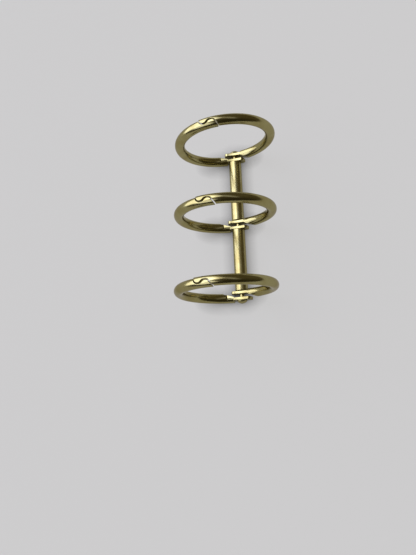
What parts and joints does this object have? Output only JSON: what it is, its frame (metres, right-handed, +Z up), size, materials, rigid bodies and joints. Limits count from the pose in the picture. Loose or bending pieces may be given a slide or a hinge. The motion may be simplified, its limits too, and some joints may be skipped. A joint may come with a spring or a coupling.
{
  "type": "binder ring",
  "caption": "Loose-leaf binder spine: hinged wire book rings on one long rivet with spacer tubes, each ring opening at an S-shaped clasp to hold punched sheets.",
  "frame": {"origin": "middle of the part's box, on the surface that it lies on", "axes": "+Z up, +Y along the rivet towards the rear ring, +X to the right as seen from the front"},
  "size_m": [0.0268, 0.0424, 0.0258],
  "materials": {
    "ring_wire": "polished brass plating on drawn wire",
    "post": "polished brass plating on tube and rivet"
  },
  "bodies": {
    "post": {"hinge_rivet": "post", "rear_spacer_tube": "post", "front_spacer_tube": "post"},
    "rear_left": {"rear_ring_left_half": "ring_wire"},
    "rear_right": {"rear_ring_right_half": "ring_wire"},
    "middle_left": {"middle_ring_left_half": "ring_wire"},
    "middle_right": {"middle_ring_right_half": "ring_wire"},
    "front_left": {"front_ring_left_half": "ring_wire"},
    "front_right": {"front_ring_right_half": "ring_wire"}
  },
  "joints": [
    {"name": "rear_ring_swivel", "type": "hinge", "parent": "post", "child": "rear_left", "pos_m": [0.00233, 0.01884, 0.00165], "axis": [0, 1, 0], "continuous": true},
    {"name": "rear_ring_open", "type": "hinge", "parent": "rear_left", "child": "rear_right", "pos_m": [0.00233, 0.01884, 0.00165], "axis": [0, 1, 0], "range_deg": [0, 120]},
    {"name": "middle_ring_swivel", "type": "hinge", "parent": "post", "child": "middle_left", "pos_m": [0.00233, -0.00016, 0.00165], "axis": [0, 1, 0], "continuous": true},
    {"name": "middle_ring_open", "type": "hinge", "parent": "middle_left", "child": "middle_right", "pos_m": [0.00233, -0.00016, 0.00165], "axis": [0, 1, 0], "range_deg": [0, 120]},
    {"name": "front_ring_swivel", "type": "hinge", "parent": "post", "child": "front_left", "pos_m": [0.00233, -0.01916, 0.00165], "axis": [0, 1, 0], "continuous": true},
    {"name": "front_ring_open", "type": "hinge", "parent": "front_left", "child": "front_right", "pos_m": [0.00233, -0.01916, 0.00165], "axis": [0, 1, 0], "range_deg": [0, 120]}
  ]
}
